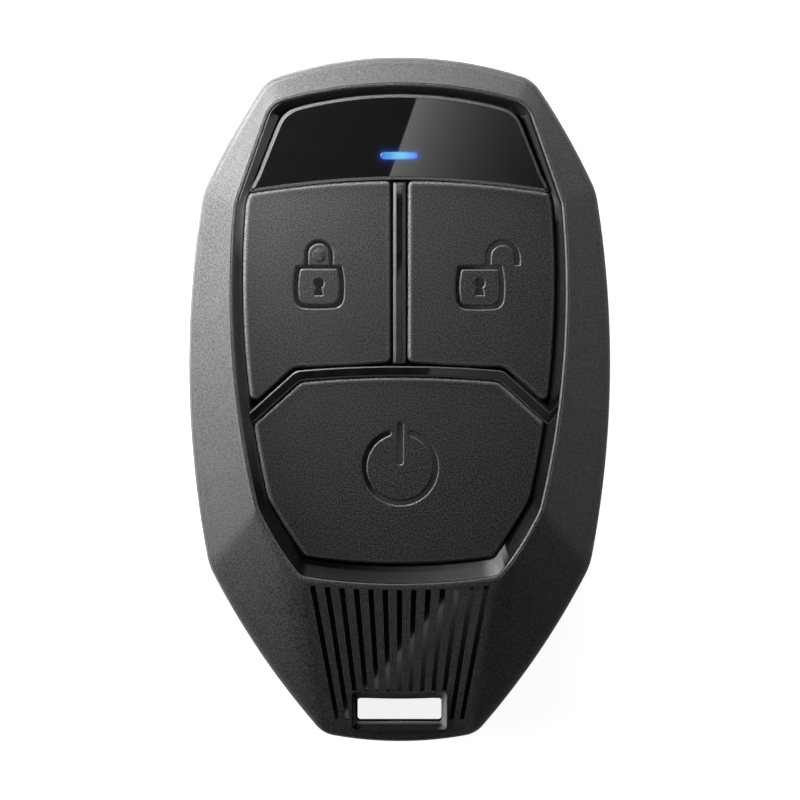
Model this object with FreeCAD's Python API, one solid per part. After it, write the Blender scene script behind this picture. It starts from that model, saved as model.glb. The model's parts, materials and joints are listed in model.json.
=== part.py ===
import FreeCAD, Part
import math
import os

os.makedirs("parts", exist_ok=True)

# Remote start key fob lying on its back, in mm.
# +Z points out of the button face, +Y to the indicator window, +X to the unlock button.
# Origin: centre of the rectangle round the outline, at the height of the rear face.

V = FreeCAD.Vector

# Overall plan size. The points below were drawn for the drawn size, and move with the fob's own.
fob_length = 70.0
fob_width = 43.1
drawn_length = 70.0
drawn_width = 43.1
long = fob_length / drawn_length
wide = fob_width / drawn_width


def placed(points):
    """Plan points moved with the fob's length and width; what follows x and y is kept."""
    return [(point[0] * wide, point[1] * long) + tuple(point[2:]) for point in points]


# Outlines, right half from the bottom up: x, y, corner radius, bow of the side that follows.
body_half = placed([(7.8, -34.2, 3.0, 0.68), (19.5, -17.0, 7.0, 1.74), (20.1, 21.2, 7.0, 0.29),
                    (13.66, 32.65, 3.5, 2.35)])
body_foot_bow = 0.80
back_half = placed([(7.4, -33.5, 3.0, 0.66), (17.7, -16.4, 6.0, 1.74), (18.3, 20.2, 6.0, 0.29),
                    (12.6, 31.2, 3.5, 2.1)])
back_foot_bow = 0.78
rim_half = placed([(10.03, -18.0, 1.5, 0.25), (14.28, -11.16, 5.0, 1.29), (16.5, 19.86, 4.0, 0.02),
                   (12.95, 29.99, 2.5, 1.89)])
rim_foot_bow = 0.83
field_half = placed([(9.67, -16.27, 1.0, 0.12), (13.46, -10.34, 4.0, 1.19), (15.76, 20.06, 4.0, 0.02),
                     (12.03, 29.5, 2.0, 1.77)])
field_foot_bow = 0.72
straight_bow = 0.01
least_radius = 0.12
hair = 0.01

# How far a cutting solid reaches past what it cuts, and past the whole fob.
over = 1.0
beyond = fob_length

# Heights of the case.
seam_z = 6.0
edge_z = 8.6
rim_top_z = 11.2
rim_foot_z = 12.75
rim_top_y = 31.88 * long
rim_foot_y = -18.83 * long
wall = 1.5
floor_thick = 1.4
side_draft = 0.18
edge_bevel = 0.45
belly_z = 3.2
belly_round = 0.9
belly_round_z = 0.63
inner_belly_z = 3.6
root_z = 0.5

# Shape of the bezel from its outer edge to the rim: share of the way in, share of the way up.
bezel_steps = [(0.0, 0.0), (0.87, 0.93), (1.0, 1.0)]
ceiling_share = 0.78
ceiling_depth = 1.9
ceiling_edge_z = 8.0

# Gloss frame round the buttons.
frame_foot_z = 8.6
plate_z = 9.3
field_top_z = 10.5
lip_width = 0.1
flange_out = 0.4
catch_spots = placed([(16.86, 10.0), (16.45, -0.5), (15.4, -6.6)])
catch_half = 1.2
catch_in = 0.3
divider_z = 10.72
divider_half = 0.6
divider_chamfer = 0.22
divider_root = 0.3
bar_root = 0.35
vee_half = 0.53
vee_centre_y = 2.9 * long
vee_knee = (10.37 * wide, 2.43 * long)
vee_slope = (0.742, 0.670)
vee_knee_shift = (0.423, 0.966)
vee_knee_radius = 1.3

# Window, its ledge and the light bar.
split_radius = 95.0
split_corner = 0.2
window_foot_y = 22.3 * long
window_z = 10.95
window_gap = 0.08
window_bevel = 0.32
ledge_z = 9.9
ledge_width = 0.8
ledge_root = 0.1
bar_y = 24.8 * long
bar_length = 3.8
bar_width = 0.7
bar_clear = 0.6
pipe_foot = (5.4, 2.2)
pipe_gap = 0.05

# Buttons.
button_z = 10.4
button_round = 0.28
button_gap = 0.2
lock_inner_x = 0.92
lock_top_gap = 0.14
lock_foot_gap = 0.36
lock_top_bow = 0.35
lock_foot_bow = 0.12
flange_reach = 0.33
corner_radius = 0.5

# Ramp, grille and strap slot.
ramp_from = (-19.35 * long, 12.62)
ramp_to = (-34.4 * long, 8.66)
ramp_half = 11.5 * wide
ramp_skin = 0.85
groove_side_count = 6
groove_pitch = 1.478 * wide
groove_pitch_y = -18.93 * long
groove_focus_y = -67.6 * long
groove_wide = 0.55
groove_narrow = 0.45
groove_top_gap = 0.62
groove_top_bow = 0.55
groove_inner_y = -29.75 * long
groove_outer_y = -32.7 * long
long_groove_from = 5
insert_thick = 0.9
insert_top = (9.3 * wide, -19.6 * long)
insert_foot = (7.2 * wide, -33.6 * long)
slot_half = 4.3
slot_width = 2.3
slot_centre_y = -31.75 * long
slot_corner = 0.3
slot_drop = 0.75
recess_side = 0.55
recess_above = 0.5
recess_below = 0.85
recess_corner = 0.45
mouth_flare = 0.1
mouth_over = 0.12

# Battery and its sliding door.
battery_y = 18.0 * long
battery_radius = 10.0
battery_thick = 3.2
battery_z = 1.5
cup_gap = 0.2
cup_wall = 1.0
cup_top_z = 4.2
door_side = 0.8
door_margin = 1.5
door_thick = 1.15
door_gap = 0.12
door_lift = 0.05
inner_floor_z = 1.7
pad_margin = 2.0
pad_foot = 1.2
rail_out = 0.7
rail_z = (0.45, 0.85)
rail_gap = 0.08
rail_start = 1.5
rail_end_gap = 0.3
rail_end_y = 30.0 * long
grip_count = 5
grip_pitch = 1.6
grip_y = 27.2 * long
grip_half = 5.0
grip_depth = 0.3
grip_width = 0.8

# Contacts of the battery.
contact_half = 1.5
contact_thick = 0.2
contact_lift = 0.7
contact_tab = 2.4
contact_side_gap = 0.4
contact_room = 0.6
contact_bite = 0.3
negative_half = 2.0
spring_touch = (-2.5, -0.5)
spring_rise = 4.0
spring_end = 7.0
spring_lean = 0.3

# Board and what it carries.
board_inset = 2.6
board_z = 5.6
board_thick = 1.0
board_foot_y = -27.5 * long
board_hole_gap = 0.2
led_size = (2.0, 1.2, 0.7)
chip_spot = (0.5 * wide, -5.0 * long)
chip_size = (6.0, 6.0, 0.9)
radio_spot = (-8.0 * wide, -14.5 * long)
radio_size = (4.0, 4.0, 0.75)
crystal_spot = (-1.5 * wide, -14.0 * long)
crystal_size = (3.2, 2.5, 0.7)
crystal_round = 0.6
core_spot = (10.0 * wide, -5.0 * long)
core_side = 7.0
core_post = 3.6
core_plate = 0.7
core_gap = 1.6
winding_side = 6.2
winding_round = 1.2
capacitor_size = (1.6, 0.8, 0.7)
capacitor_spots = placed([(-6.5, -3.0), (-6.5, -6.0), (-9.5, -3.0), (-9.5, -6.0),
                          (4.0, -13.0), (4.0, -15.5), (7.5, -14.5), (-4.0, -20.0)])

# Keypad and push switches.
membrane_z = 8.0
membrane_out = 0.4
skirt_width = 1.0
keypad_clear = 3.0
switch_side = 4.6
switch_height = 1.0
cover_thick = 0.15
well_z = 7.0
plunger_half = 0.9
plunger_gap = 0.1
plunger_foot_z = 7.44
switch_names = ("lock", "unlock", "start")
switch_spots = placed([(-8.2, 12.8), (8.2, 12.8), (0.0, -7.2)])

# Screws, posts and the tabs that locate the two halves.
screw_spot = (11.0 * wide, -22.0 * long)
screw_radius = 0.8
screw_head_radius = 1.6
screw_head = 0.8
screw_sink = 0.35
screw_gap = 0.15
screw_tip_z = 8.4
pilot_past = 0.2
boss_half = 1.75
post_spots = placed([(15.2, 21.0), (16.4, -2.0)])
post_half = 1.4
tab_spots = placed([(19.2, 8.0), (19.0, -8.0), (7.0, 32.0)])
tab_half = 1.4
tab_gap = 0.1
tab_thick = 0.75
tab_root = 0.3
tab_drop = 0.9
tab_rise = 1.4


# Outlines.
def whole(half, foot_bow):
    """Close a right half into a full outline, counter-clockwise."""
    right = list(half)
    left = []
    for index in range(len(half) - 1, -1, -1):
        x, y, radius, bow = half[index]
        following = half[index - 1][3] if index > 0 else foot_bow
        left.append((-x, y, radius, following))
    return right + left


def blend(first, second, share):
    """Outline part of the way from one outline to another."""
    mixed = []
    for a, b in zip(first, second):
        mixed.append(tuple(p + (q - p) * share for p, q in zip(a, b)))
    return mixed


def side_circle(start, end, bow, inset):
    """Circle that carries a bowed side, moved inward by the inset."""
    if abs(bow) < straight_bow:
        bow = straight_bow / 10
    chord = end - start
    length = chord.Length
    inward = V(-chord.y, chord.x, 0) / length
    radius = (length * length / 4 + bow * bow) / (2 * abs(bow))
    sign = 1.0 if bow > 0 else -1.0
    centre = (start + end) / 2 + inward * (sign * (radius - abs(bow)))
    return centre, radius - sign * inset, sign


def meeting(c1, r1, c2, r2, near):
    """Crossing of two circles that lies nearest to a point."""
    gap = c2 - c1
    dist = gap.Length
    along = (r1 * r1 - r2 * r2 + dist * dist) / (2 * dist)
    high = math.sqrt(max(r1 * r1 - along * along, 0.0))
    unit = gap / dist
    cross = V(-unit.y, unit.x, 0)
    spots = [c1 + unit * along + cross * high, c1 + unit * along - cross * high]
    return min(spots, key=lambda spot: (spot - near).Length)


def outline(keys, height, inset=0.0):
    """Closed wire of bowed sides and rounded corners; height is a number or a function of y."""
    level = height if callable(height) else (lambda y: height)
    count = len(keys)
    spots = [V(k[0], k[1], 0) for k in keys]
    circles = []
    for i in range(count):
        circles.append(side_circle(spots[i], spots[(i + 1) % count], keys[i][3], inset))
    corners = []
    for i in range(count):
        before, after = circles[i - 1], circles[i]
        a = spots[i] - spots[i - 1]
        b = spots[(i + 1) % count] - spots[i]
        turn = 1.0 if a.x * b.y - a.y * b.x > 0 else -1.0
        radius = max(keys[i][2] - turn * inset, least_radius)
        reach = turn * radius
        centre = meeting(before[0], before[1] - before[2] * reach,
                         after[0], after[1] - after[2] * reach, spots[i])
        touch = [c[0] + (centre - c[0]).normalize() * c[1] for c in (before, after)]
        middle = centre + (touch[0] + touch[1] - centre * 2).normalize() * radius
        corners.append((touch[0], middle, touch[1]))
    edges = []
    for i in range(count):
        edges.append(arc(corners[i][0], corners[i][1], corners[i][2], level))
        start, end = corners[i][2], corners[(i + 1) % count][0]
        centre, radius, sign = circles[i]
        if abs(keys[i][3]) < straight_bow:
            edges.append(line(start, end, level))
            continue
        middle = centre + (start + end - centre * 2).normalize() * radius
        edges.append(arc(start, middle, end, level))
    return Part.Wire(edges)


def facets(keys, inset=0.0):
    """Plan polygon through the middle of every corner and bowed side, for faces inside the case."""
    points = []
    for edge in outline(keys, 0.0, inset).Edges:
        if isinstance(edge.Curve, Part.Circle):
            middle = edge.valueAt((edge.FirstParameter + edge.LastParameter) / 2)
            points.append((middle.x, middle.y))
    return points


def flat_faced(faces):
    """Solid closed by flat faces, each given by its corner points."""
    solid = Part.Solid(Part.Shell([Part.Face(Part.makePolygon(ring + ring[:1])) for ring in faces]))
    solid.fix(0.001, 0.001, 0.001)
    if solid.Volume < 0:
        solid.reverse()
    return solid


def lifted(points, height):
    """Plan points raised to a level, which is a number or a function of y."""
    level = height if callable(height) else (lambda y: height)
    return [V(x, y, level(y)) for x, y in points]


def stack(rings):
    """Solid with flat triangular walls through rings that have the same number of points."""
    faces = [rings[0], rings[-1]]
    for low, high in zip(rings, rings[1:]):
        for i in range(len(low)):
            j = (i + 1) % len(low)
            faces += [[low[i], low[j], high[j]], [low[i], high[j], high[i]]]
    return flat_faced(faces)


def arc(start, middle, end, level):
    raised = [V(p.x, p.y, level(p.y)) for p in (start, middle, end)]
    return Part.Arc(*raised).toShape()


def line(start, end, level):
    return Part.makeLine(V(start.x, start.y, level(start.y)), V(end.x, end.y, level(end.y)))


def loft(wires):
    return Part.makeLoft(wires, True, True)


def prism(keys, low, high, inset=0.0):
    """Upright solid on an outline; the top may be a function of y."""
    if callable(high) or callable(low):
        return loft([outline(keys, low, inset), outline(keys, high, inset)])
    return Part.Face(outline(keys, low, inset)).extrude(V(0, 0, high - low))


def slab(points, low, high):
    """Solid with upright flat walls over a plan polygon, between two levels."""
    bottom, top = lifted(points, low), lifted(points, high)
    faces = [bottom, top]
    for i in range(len(points)):
        j = (i + 1) % len(points)
        faces.append([bottom[i], bottom[j], top[j], top[i]])
    return flat_faced(faces)


def box(x0, x1, y0, y1, z0, z1):
    return Part.makeBox(x1 - x0, y1 - y0, z1 - z0, V(x0, y0, z0))


def pole(x, y, radius, low, high):
    return Part.makeCylinder(radius, high - low, V(x, y, low))


def block(x, y, half_x, half_y, z0, z1):
    """Box centred on a plan point."""
    return box(x - half_x, x + half_x, y - half_y, y + half_y, z0, z1)


def both(shape):
    """A solid and its mirror image in the fob's middle plane."""
    return [shape, mirrored(shape)]


def mirrored(shape):
    return shape.mirror(V(0, 0, 0), V(1, 0, 0))


def edges_at(shape, height, near=0.005):
    """Edges that lie wholly at one height."""
    found = []
    for edge in shape.Edges:
        extent = edge.BoundBox
        if abs(extent.ZMin - height) < near and abs(extent.ZMax - height) < near:
            found.append(edge)
    return found


def sharp_uprights(shape, turn=0.35):
    """Upright edges where two walls meet at a real corner."""
    found = []
    for edge in shape.Edges:
        extent = edge.BoundBox
        if extent.XLength > 0.01 or extent.YLength > 0.01:
            continue
        middle = extent.Center
        faces = shape.ancestorsOfType(edge, Part.Face)
        normals = [face.normalAt(*face.Surface.parameter(middle)) for face in faces]
        if len(normals) == 2 and normals[0].getAngle(normals[1]) > turn:
            found.append(edge)
    return found


def slot_keys(half, span, radius):
    """Rounded rectangle across the fob, between two levels of y."""
    low, high = span
    corners = [(-half, low), (half, low), (half, high), (-half, high)]
    return [(x, y, radius, 0) for x, y in corners]


def pill_keys(length, width, y):
    """Rounded rectangle whose ends are all but half circles."""
    return slot_keys(length / 2, (y - width / 2, y + width / 2), width / 2 - hair)


def taper(foot, top):
    """Plan of a four-sided shape that narrows along y; each end is its half width and its y."""
    return [(-foot[0], foot[1]), (foot[0], foot[1]), (top[0], top[1]), (-top[0], top[1])]


body = whole(body_half, body_foot_bow)
back = whole(back_half, back_foot_bow)
rim = whole(rim_half, rim_foot_bow)
field = whole(field_half, field_foot_bow)


def rim_level(y):
    return rim_top_z + (rim_top_y - y) * (rim_foot_z - rim_top_z) / (rim_top_y - rim_foot_y)


# Front shell: faceted bezel rising to a tilted rim.
def bezel_level(share):
    return lambda y: edge_z + (rim_level(y) - edge_z) * share


front_rings = [outline(body, seam_z), outline(body, edge_z - edge_bevel, side_draft)]
for way_in, way_up in bezel_steps:
    inset = edge_bevel * (1 - way_in)
    front_rings.append(outline(blend(body, rim, way_in), bezel_level(way_up), inset))
front_block = loft(front_rings)


def ramp_level(y):
    """Height of the flat ramp that carries the grille."""
    return ramp_from[1] + (y - ramp_from[0]) * (ramp_to[1] - ramp_from[1]) / (ramp_to[0] - ramp_from[0])


above_ramp = slab(taper((ramp_half, ramp_to[0]), (ramp_half, ramp_from[0])), ramp_level, rim_foot_z + over)
front_block = front_block.cut(above_ramp)


def ceiling(y):
    return rim_level(y) - ceiling_depth


cavity = stack([lifted(facets(body, wall), seam_z - over), lifted(facets(body, wall), ceiling_edge_z),
                lifted(facets(blend(body, rim, ceiling_share)), ceiling)])
opening = prism(rim, ceiling_edge_z, lambda y: rim_level(y) + over)

# Tabs that reach down inside the rear half and locate it.
tab_low, tab_high = seam_z - tab_drop, seam_z + tab_rise
tab_ring = slab(facets(body, wall + tab_gap), tab_low, seam_z)
tab_ring = tab_ring.fuse(slab(facets(body, wall - tab_root), seam_z, tab_high))
tab_ring = tab_ring.cut(slab(facets(body, wall + tab_gap + tab_thick), tab_low, tab_high))
tabs = []
for spot in tab_spots:
    tabs += both(block(*spot, tab_half, tab_half, tab_low, tab_high).common(tab_ring))
board_top = board_z + board_thick
boss = block(*screw_spot, boss_half, boss_half, board_top, rim_foot_z).common(front_block)
pilot = pole(*screw_spot, screw_radius, seam_z, screw_tip_z + pilot_past)

slot_y = (slot_centre_y - slot_width / 2, slot_centre_y + slot_width / 2)
slot = slot_keys(slot_half, slot_y, slot_corner)
recess_y = (slot_y[0] - recess_below, slot_y[1] + recess_above)
recess = slot_keys(slot_half + recess_side, recess_y, recess_corner)
slot_well = prism(recess, -over, rim_foot_z)


def groove(index, low, high):
    """One tapered groove; the lines of all of them meet far below the fob."""
    top_x = index * groove_pitch
    lean = top_x / (groove_pitch_y - groove_focus_y)
    near_rim = rim_foot_y - groove_top_gap + groove_top_bow * (top_x / rim_half[0][0]) ** 2
    foot = groove_outer_y if abs(index) >= long_groove_from else groove_inner_y
    plan = []
    for x, y in taper((groove_narrow / 2, foot), (groove_wide / 2, near_rim)):
        plan.append((x + lean * (y - groove_focus_y), y))
    return slab(plan, low, high)


groove_range = range(-groove_side_count, groove_side_count + 1)


def below_ramp(depth):
    """Plane parallel to the ramp, at a depth under it."""
    return lambda y: ramp_level(y) - depth


insert_level = below_ramp(ramp_skin + insert_thick)
insert_room = slab(taper(insert_foot, insert_top), insert_level, below_ramp(ramp_skin))
grooves = [groove(i, insert_level, below_ramp(-over)) for i in groove_range]

front_shell = front_block.cut([cavity, opening])
front_shell = front_shell.fuse(both(boss) + tabs)
front_shell = front_shell.cut(both(pilot) + [slot_well, insert_room] + grooves)


# Gloss frame round the buttons.
vee_reach = max(x + bow for x, y, radius, bow in field_half) + vee_half


def knee(side, shift):
    """Knee of the vee line, moved square to the line."""
    return (side * (vee_knee[0] + vee_knee_shift[0] * shift), vee_knee[1] + vee_knee_shift[1] * shift)


def vee_end(side, shift):
    """Point where the straight outer arm of the vee line passes its reach."""
    x, y = knee(side, shift)
    run = vee_reach - abs(x)
    return (side * vee_reach, y - run * vee_slope[1] / vee_slope[0])


vee_bow = vee_centre_y - vee_knee[1]


def vee_keys(low, high):
    """Band along the vee line between two shifts."""
    left_low, right_low = knee(-1, low), knee(1, low)
    left_high, right_high = knee(-1, high), knee(1, high)
    return [(*vee_end(-1, low), split_corner, 0), (*left_low, vee_knee_radius, -vee_bow),
            (*right_low, vee_knee_radius, 0), (*vee_end(1, low), split_corner, 0),
            (*vee_end(1, high), split_corner, 0), (*right_high, vee_knee_radius, vee_bow),
            (*left_high, vee_knee_radius, 0), (*vee_end(-1, high), split_corner, 0)]


def window_keys(foot):
    """Region above the curved split between window and buttons."""
    x = vee_reach
    drop = split_radius - math.sqrt(split_radius ** 2 - x * x)
    return [(-x, foot - drop, split_corner, -drop), (x, foot - drop, split_corner, 0),
            (x, beyond, split_corner, 0), (-x, beyond, split_corner, 0)]


frame_block = prism(rim, plate_z, rim_level)
mouth = loft([outline(field, field_top_z), outline(rim, lambda y: rim_level(y) + hair, lip_width)])
frame_block = frame_block.cut([prism(field, plate_z - over, field_top_z + hair), mouth])
catches = []
for x, y in catch_spots:
    catch_plan = [(x - catch_in, y - catch_half), (x + flange_out, y - catch_half),
                  (x + flange_out, y + catch_half), (x - catch_in, y + catch_half)]
    catches += both(slab(catch_plan, plate_z, ceiling))
frame_block = frame_block.fuse(catches)
vee_bar = prism(vee_keys(-vee_half, vee_half), plate_z, divider_z)
vee_bar = vee_bar.makeChamfer(divider_chamfer, edges_at(vee_bar, divider_z))
upright_bar = box(-divider_half, divider_half, vee_centre_y - divider_root, window_foot_y - lock_top_gap,
                  plate_z, divider_z)
upright_bar = upright_bar.makeChamfer(divider_chamfer, edges_at(upright_bar, divider_z))
ledge_area = prism(field, plate_z, ledge_z, -ledge_root)
ledge = ledge_area.cut(slab(facets(field, ledge_width), plate_z - over, ledge_z + over))
ledge_bar = box(-vee_reach, vee_reach, 0, window_foot_y + ledge_width, plate_z, ledge_z)
ledge = ledge.fuse(ledge_bar.common(ledge_area))
ledge = ledge.common(prism(window_keys(window_foot_y), plate_z, ledge_z))
bars = vee_bar.common(prism(field, plate_z, divider_z, -bar_root)).fuse(upright_bar)
trim_frame = frame_block.fuse([bars, ledge]).removeSplitter()

window = prism(field, ledge_z, window_z, window_gap)
window = window.common(prism(window_keys(window_foot_y), ledge_z, window_z))
window = window.makeChamfer(window_bevel, edges_at(window, window_z))
bar_keys = pill_keys(bar_length, bar_width, bar_y)
indicator_window = window.cut(prism(bar_keys, ledge_z - over, window_z + over))
light_pipe = prism(bar_keys, board_top + led_size[2] + pipe_gap, window_z - pipe_gap)
light_pipe = light_pipe.fuse(block(0, bar_y, pipe_foot[0] / 2, pipe_foot[1] / 2, plate_z, ledge_z))


# Buttons.
def lock_region(spread):
    """Plan of the left upper button, before the field's edge trims it; spread widens it."""
    x = vee_reach
    top = window_foot_y - lock_top_gap
    drop = split_radius - math.sqrt(split_radius ** 2 - x * x)
    shift = vee_half + lock_foot_gap - spread
    left_end, left_knee = vee_end(-1, shift), knee(-1, shift)
    inner = -lock_inner_x + spread
    return [(*left_end, split_corner, 0), (*left_knee, vee_knee_radius, lock_foot_bow),
            (inner, vee_centre_y + shift, corner_radius, 0),
            (inner, top + spread, corner_radius, lock_top_bow), (-x, top - drop + spread, split_corner, 0)]


def start_region(spread):
    """Plan of the large lower button."""
    shift = -vee_half - button_gap + spread
    left_end, left_knee = vee_end(-1, shift), knee(-1, shift)
    right_end, right_knee = vee_end(1, shift), knee(1, shift)
    return [(-vee_reach, -beyond, split_corner, 0), (vee_reach, -beyond, split_corner, 0),
            (*right_end, split_corner, 0), (*right_knee, vee_knee_radius, vee_bow),
            (*left_knee, vee_knee_radius, 0), (*left_end, split_corner, 0)]


def button(region):
    """Button with a rounded top edge over a flange that stops under the frame."""
    low = frame_foot_z
    cap = prism(field, low, button_z, button_gap).common(prism(region(0.0), low, button_z))
    cap = cap.makeFillet(corner_radius, sharp_uprights(cap))
    cap = cap.makeChamfer(button_round, edges_at(cap, button_z))
    flange = slab(facets(field, -flange_reach), low, plate_z)
    flange = flange.common(slab(facets(region(flange_reach)), low, plate_z))
    return cap.fuse(flange).removeSplitter()


lock_button = button(lock_region)
unlock_button = mirrored(lock_button)
start_button = button(start_region)

# Grille insert and strap slot.
collar = prism(recess, seam_z, rim_foot_z).cut(above_ramp)
slot_mouth = loft([outline(slot, below_ramp(slot_drop)),
                   outline(recess, below_ramp(-mouth_over), -mouth_flare)])
slot_hole = prism(slot, -over, rim_foot_z)
grille_insert = insert_room.cut(slot_well).fuse(collar)
grille_insert = grille_insert.cut([slot_mouth, slot_hole]).removeSplitter()

# Rear shell with the rails of the battery door.
rear_rings = [outline(back, 0.0, belly_round), outline(back, belly_round_z), outline(body, belly_z),
              outline(body, seam_z)]
rear_block = loft(rear_rings)
inside = stack([lifted(facets(back, wall), floor_thick), lifted(facets(body, wall), inner_belly_z),
                lifted(facets(body, wall), seam_z + over)])
rear_shell = rear_block.cut(inside)
door_half = battery_radius + door_side
door_foot_y = battery_y - battery_radius - door_margin
pad_half = door_half + pad_margin
pad = box(-pad_half, pad_half, door_foot_y - pad_foot, beyond, root_z, inner_floor_z).common(rear_block)
cup_half = battery_radius + cup_gap + cup_wall
cup = block(0, battery_y, cup_half, cup_half, root_z, cup_top_z)
posts = both(block(*screw_spot, boss_half, boss_half, root_z, board_z))
for spot in post_spots:
    posts += both(block(*spot, post_half, post_half, root_z, board_z))
rear_collar = block(0, slot_centre_y, slot_half + cup_wall, slot_width / 2 + cup_wall, root_z, seam_z)
rear_shell = rear_shell.fuse([pad, cup, rear_collar.common(rear_block)] + posts)
door_room = door_half + door_gap
door_well = box(-door_room, door_room, door_foot_y - door_gap, beyond, -over, door_thick + door_lift)
rail_start_y = door_foot_y + rail_start
rail_wells = box(-door_room - rail_out, door_room + rail_out, rail_start_y - rail_end_gap, beyond,
                 rail_z[0] - rail_gap, rail_z[1] + rail_gap)
battery_well = pole(0, battery_y, battery_radius + cup_gap, -over, cup_top_z + over)
screw_wells = both(pole(*screw_spot, screw_radius + screw_gap, -over, seam_z))
screw_wells += both(pole(*screw_spot, screw_head_radius + screw_gap, -over, screw_sink + screw_head))
can_y = battery_y - battery_radius
contact_well = box(-contact_half - contact_side_gap, contact_half + contact_side_gap,
                   can_y - cup_wall - contact_room, can_y + contact_bite, inner_floor_z, cup_top_z + over)
rear_shell = rear_shell.cut([contact_well, door_well, rail_wells, battery_well, slot_hole] + screw_wells)
battery_door = rear_block.common(box(-door_half, door_half, door_foot_y, beyond, -over, door_thick))
rails = box(-door_half - rail_out, door_half + rail_out, rail_start_y, rail_end_y, rail_z[0], rail_z[1])
grips = []
for index in range(grip_count):
    y = grip_y + (index - grip_count // 2) * grip_pitch
    grips.append(block(0, y, grip_half, grip_width / 2, -over, grip_depth))
battery_door = battery_door.fuse(rails).cut(grips)


# Keypad, board and switches.
def keypad_area(low, high, spread):
    """Area of the rubber keypad, kept clear of the case wall."""
    near_rim = slab(facets(rim, -spread), low, high)
    return near_rim.common(slab(facets(body, keypad_clear - spread), low, high))


keypad = keypad_area(board_top, frame_foot_z, membrane_out)
keypad = keypad.cut(keypad_area(board_top - over, membrane_z, membrane_out - skirt_width))
pipe_hole = block(0, bar_y, (bar_length + bar_clear) / 2, (bar_width + bar_clear) / 2,
                  membrane_z - over, plate_z)
keypad_membrane = keypad.cut(pipe_hole)

circuit_board = slab(facets(body, board_inset), board_z, board_top)
circuit_board = circuit_board.common(box(-beyond, beyond, board_foot_y, beyond, 0, rim_foot_z))
circuit_board = circuit_board.cut(both(pole(*screw_spot, screw_radius + board_hole_gap, 0, rim_foot_z)))


def switch_parts(x, y):
    """Body, sheet cover and plunger of one push switch."""
    half = switch_side / 2
    top = board_top + switch_height
    case = block(x, y, half, half, board_top, top)
    out = half + cover_thick
    cover = block(x, y, out, out, board_top + cover_thick, top + cover_thick).cut(case)
    well, mouth = plunger_half + plunger_gap, plunger_half + 3 * plunger_gap
    cover = cover.cut(block(x, y, mouth, mouth, board_top, top + over))
    case = case.cut(block(x, y, well, well, well_z, top + over))
    plunger = block(x, y, plunger_half, plunger_half, plunger_foot_z, membrane_z)
    return case, cover, plunger


switches = {name: switch_parts(*spot) for name, spot in zip(switch_names, switch_spots)}
indicator_led = block(0, bar_y, led_size[0] / 2, led_size[1] / 2, board_top, board_top + led_size[2])


def hung(spot, size):
    """Box soldered under the board."""
    return block(*spot, size[0] / 2, size[1] / 2, board_z - size[2], board_z)


microcontroller = hung(chip_spot, chip_size)
radio_chip = hung(radio_spot, radio_size)
crystal = hung(crystal_spot, crystal_size)
crystal = crystal.makeFillet(crystal_round, sharp_uprights(crystal))
chip_capacitors = Part.makeCompound([hung(spot, capacitor_size) for spot in capacitor_spots])
core_flange = hung(core_spot, (core_side, core_side, core_plate))
lower_flange = core_flange.translated(V(0, 0, -core_plate - core_gap))
antenna_core = hung(core_spot, (core_post, core_post, core_plate + core_gap))
antenna_core = antenna_core.fuse([core_flange, lower_flange])
coil_half = winding_side / 2
coil_top = board_z - core_plate
antenna_winding = block(*core_spot, coil_half, coil_half, coil_top - core_gap, coil_top)
antenna_winding = antenna_winding.makeFillet(winding_round, sharp_uprights(antenna_winding))
antenna_winding = antenna_winding.cut(antenna_core)

# Battery, contacts and screws.
battery_top = battery_z + battery_thick
coin_battery = pole(0, battery_y, battery_radius, battery_z, battery_top)
under_board, over_cell = board_z - contact_thick, battery_top + contact_thick
strip = [(spring_end, board_z), (spring_end, under_board), (spring_rise, under_board),
         (spring_touch[1], battery_top), (spring_touch[0], battery_top), (spring_touch[0], over_cell),
         (spring_touch[1] - spring_lean, over_cell), (spring_rise - spring_lean, board_z)]
strip_wire = Part.makePolygon([V(-negative_half, battery_y + y, z) for y, z in strip + strip[:1]])
negative_contact = Part.Face(strip_wire).extrude(V(2 * negative_half, 0, 0))
upright_leaf = box(-contact_half, contact_half, can_y - contact_thick, can_y,
                   battery_z + contact_lift, board_z)
board_leaf = box(-contact_half, contact_half, can_y - contact_tab, can_y, under_board, board_z)
positive_contact = upright_leaf.fuse(board_leaf)

screw = pole(*screw_spot, screw_head_radius, screw_sink, screw_sink + screw_head)
screw = screw.fuse(pole(*screw_spot, screw_radius, screw_sink + screw_head, screw_tip_z))
case_screws = Part.makeCompound(both(screw))

pieces = {"front_shell": front_shell, "rear_shell": rear_shell, "trim_frame": trim_frame,
          "indicator_window": indicator_window, "light_pipe": light_pipe, "lock_button": lock_button,
          "unlock_button": unlock_button, "start_button": start_button, "grille_insert": grille_insert,
          "keypad_membrane": keypad_membrane, "circuit_board": circuit_board, "indicator_led": indicator_led,
          "microcontroller": microcontroller, "radio_chip": radio_chip, "crystal": crystal,
          "chip_capacitors": chip_capacitors, "antenna_core": antenna_core,
          "antenna_winding": antenna_winding, "coin_battery": coin_battery,
          "negative_contact": negative_contact, "positive_contact": positive_contact,
          "battery_door": battery_door, "case_screws": case_screws}
for name, parts in switches.items():
    for kind, shape in zip(("switch_body", "switch_cover", "plunger"), parts):
        pieces[name + "_" + kind] = shape
for name, shape in pieces.items():
    shape.exportStep("parts/" + name + ".step")
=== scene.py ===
import json
import math

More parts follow.
